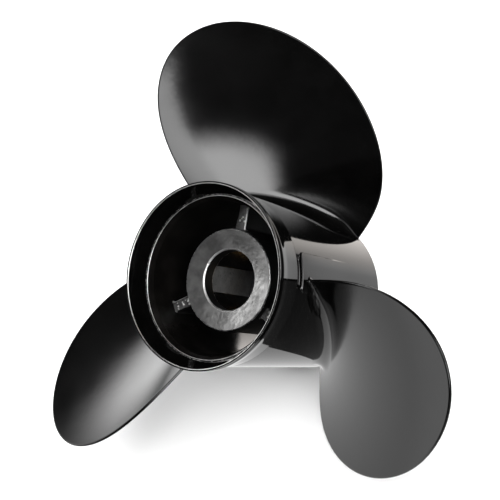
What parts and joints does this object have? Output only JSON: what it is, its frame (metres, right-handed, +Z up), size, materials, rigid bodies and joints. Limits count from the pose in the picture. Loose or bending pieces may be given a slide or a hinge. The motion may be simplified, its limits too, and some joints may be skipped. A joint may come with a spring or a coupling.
{
  "type": "boat propeller",
  "caption": "Right-hand outboard boat propeller with raked ear-shaped blades on a flared through-hub-exhaust barrel, ribbed inner hub and exchangeable splined cushion hub.",
  "frame": {"origin": "on the shaft axis, at the forward thrust face of the splined adapter", "axes": "+Y forward along the shaft to the gearcase, +Z up with blade 1 pointing up, +X to starboard"},
  "size_m": [0.3203, 0.1405, 0.2944],
  "materials": {
    "gloss_black": "gloss black enamel over cast aluminium",
    "ring_black": "gloss black enamel over machined aluminium",
    "blade_black": "gloss black enamel over cast aluminium, fine orange peel",
    "sleeve_polymer": "moulded glass-filled nylon",
    "bush_rubber": "matt moulded rubber",
    "adapter_brass": "machined"
  },
  "bodies": {
    "drive_core": {"spline_adapter": "adapter_brass"},
    "hub_sleeve": {"drive_sleeve": "sleeve_polymer", "torsion_bush": "bush_rubber"},
    "propeller": {"hub_barrel": "gloss_black", "diffuser_ring": "ring_black", "inner_hub": "gloss_black", "hub_rib_1": "gloss_black", "hub_rib_2": "gloss_black", "hub_rib_3": "gloss_black", "blade_1": "blade_black", "blade_2": "blade_black", "blade_3": "blade_black"}
  },
  "joints": [
    {"name": "cushion_twist", "type": "hinge", "parent": "drive_core", "child": "hub_sleeve", "pos_m": [0, 0, 0], "axis": [0, 1, 0], "range_deg": [-5, 5], "stiffness_Nm_per_rad": 600},
    {"name": "hub_withdrawal", "type": "slide", "parent": "hub_sleeve", "child": "propeller", "axis": [0, -1, 0], "range_m": [0, 0.055]}
  ]
}
